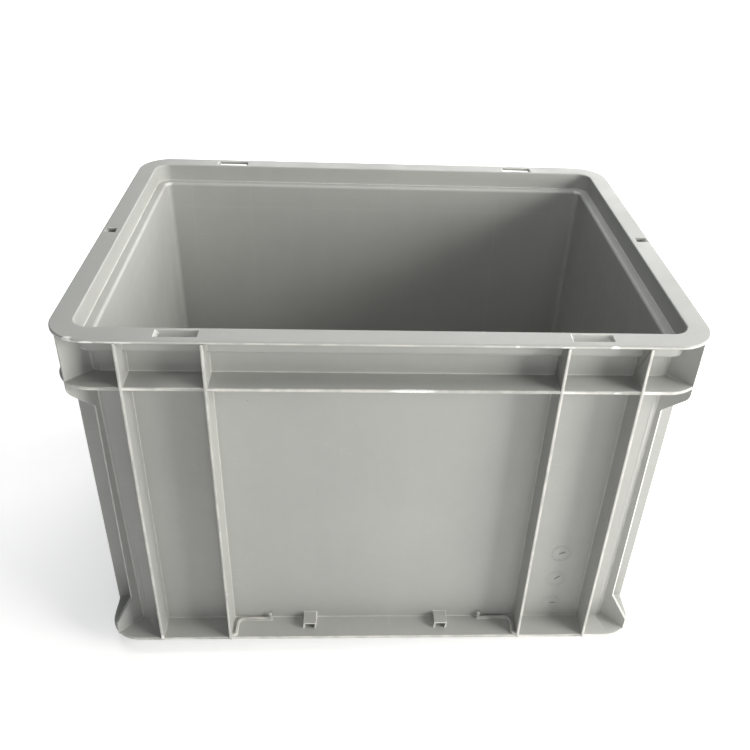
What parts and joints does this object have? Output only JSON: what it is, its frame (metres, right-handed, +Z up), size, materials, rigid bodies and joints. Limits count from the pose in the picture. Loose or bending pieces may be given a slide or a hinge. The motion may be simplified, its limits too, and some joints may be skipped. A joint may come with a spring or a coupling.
{
  "type": "euro stacking container",
  "caption": "Rectangular stacking container with ribbed drafted walls, flanged rim with lid slots, stacking recess and foot, closed hand grips.",
  "frame": {"origin": "middle of the underside, on the plane that the container stands on", "axes": "+X along the 400 mm length, +Y from the card side (front) to the back, +Z up through the open top"},
  "size_m": [0.4, 0.3, 0.28],
  "materials": {
    "moulding": "fine matt moulded polypropylene, warm light grey"
  },
  "bodies": {
    "root": {"container": "moulding"}
  },
  "joints": []
}
